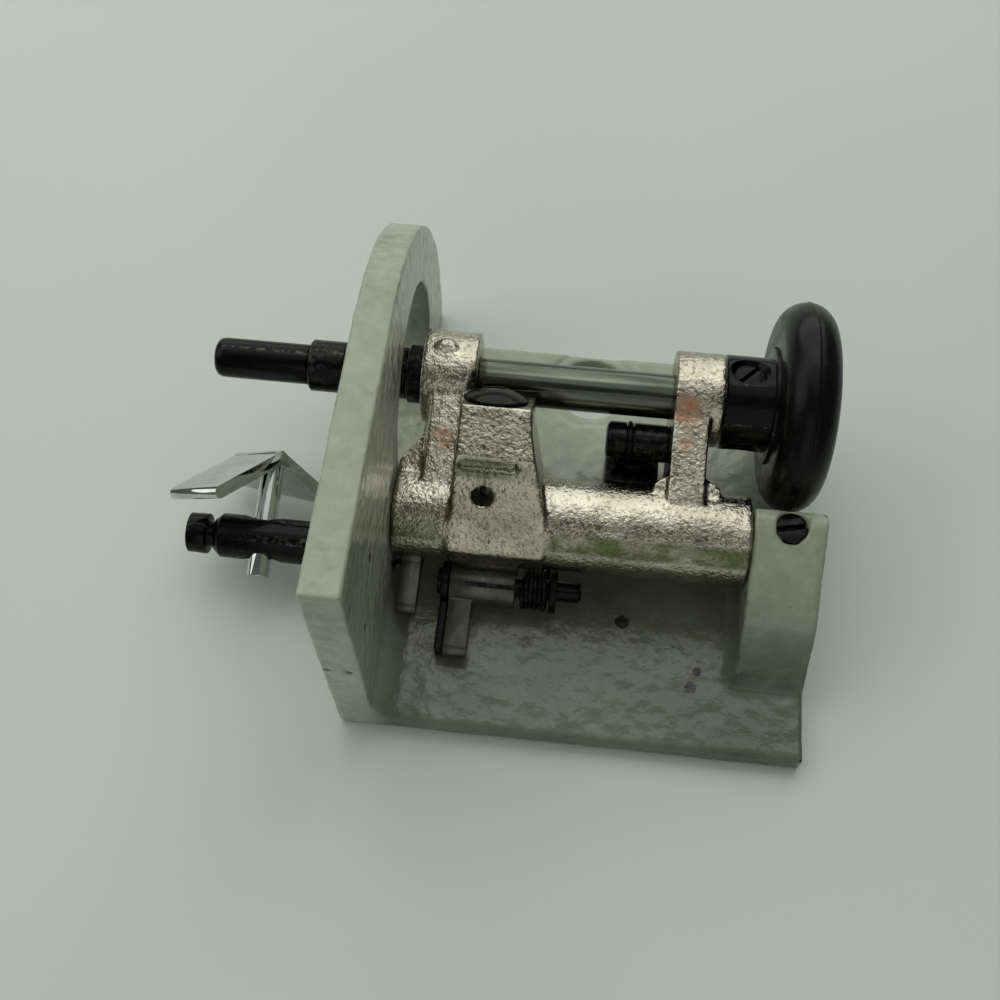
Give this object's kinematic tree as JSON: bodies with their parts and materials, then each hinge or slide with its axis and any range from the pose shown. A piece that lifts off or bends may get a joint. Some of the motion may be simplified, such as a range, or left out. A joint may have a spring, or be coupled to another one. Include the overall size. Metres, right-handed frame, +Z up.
{
  "type": "bobbin winder",
  "caption": "Bobbin winder unit: angle bracket with a swinging twin-arm frame, a spindle with bobbin seat and rubber friction wheel, a feeler lever and a sprung latch.",
  "frame": {"origin": "centre of the mounting hole at the underside of the base plate", "axes": "+X along the spindle towards the friction wheel, +Y away from the operator, +Z up from the base plate"},
  "size_m": [0.1199, 0.097, 0.057],
  "materials": {
    "painted_casting": "hammered grey-green enamel on cast iron",
    "nickel_casting": "rough nickel plate on cast iron",
    "ground_steel": "ground",
    "black_steel": "black oxide",
    "bright_steel": "machined",
    "spring_steel": "oiled black wire",
    "chrome": "bright chrome plate",
    "rubber": "moulded, matt"
  },
  "bodies": {
    "bracket": {"bracket_casting": "painted_casting", "pivot_pin": "ground_steel", "pivot_set_screw": "black_steel", "stop_block": "black_steel", "stop_block_screw": "bright_steel", "stop_screw": "black_steel", "pawl_bracket": "black_steel", "pawl_bracket_screw": "black_steel", "pawl_pin": "black_steel", "pawl_washer": "black_steel", "pawl_spring": "spring_steel"},
    "swing_frame": {"swing_frame": "nickel_casting", "brake_plunger": "ground_steel", "brake_spring": "spring_steel", "brake_cap": "black_steel", "stop_stud": "black_steel", "stud_ring": "black_steel"},
    "spindle": {"spindle_shaft": "ground_steel", "bobbin_spindle": "black_steel", "spindle_washer": "black_steel", "wheel_hub": "black_steel", "hub_set_screws": "black_steel", "rubber_tyre": "rubber"},
    "trip_lever": {"trip_post": "black_steel", "trip_finger": "bright_steel", "trip_clamp_screw": "black_steel"},
    "feeler": {"trip_rod": "chrome", "trip_feeler": "chrome"},
    "latch_pawl": {"latch_pawl": "bright_steel"}
  },
  "joints": [
    {"name": "frame_swing", "type": "hinge", "parent": "bracket", "child": "swing_frame", "pos_m": [0, -0.041, 0.0192], "axis": [1, 0, 0], "range_deg": [0, 5]},
    {"name": "spindle_turn", "type": "hinge", "parent": "swing_frame", "child": "spindle", "pos_m": [0, -0.0162, 0.0275], "axis": [1, 0, 0], "continuous": true},
    {"name": "trip_swing", "type": "hinge", "parent": "bracket", "child": "trip_lever", "pos_m": [-0.0414, -0.0461, 0.0112], "axis": [1, 0, 0], "range_deg": [-6, 4]},
    {"name": "rod_adjust", "type": "slide", "parent": "trip_lever", "child": "feeler", "axis": [0, 0.9563, 0.2924], "range_m": [-0.003, 0.003]},
    {"name": "pawl_lift", "type": "hinge", "parent": "bracket", "child": "latch_pawl", "pos_m": [-0.0174, -0.0502, 0.0096], "axis": [-1, 0, 0], "range_deg": [0, 10], "stiffness_Nm_per_rad": 0.01, "springref_deg": -17.19}
  ]
}
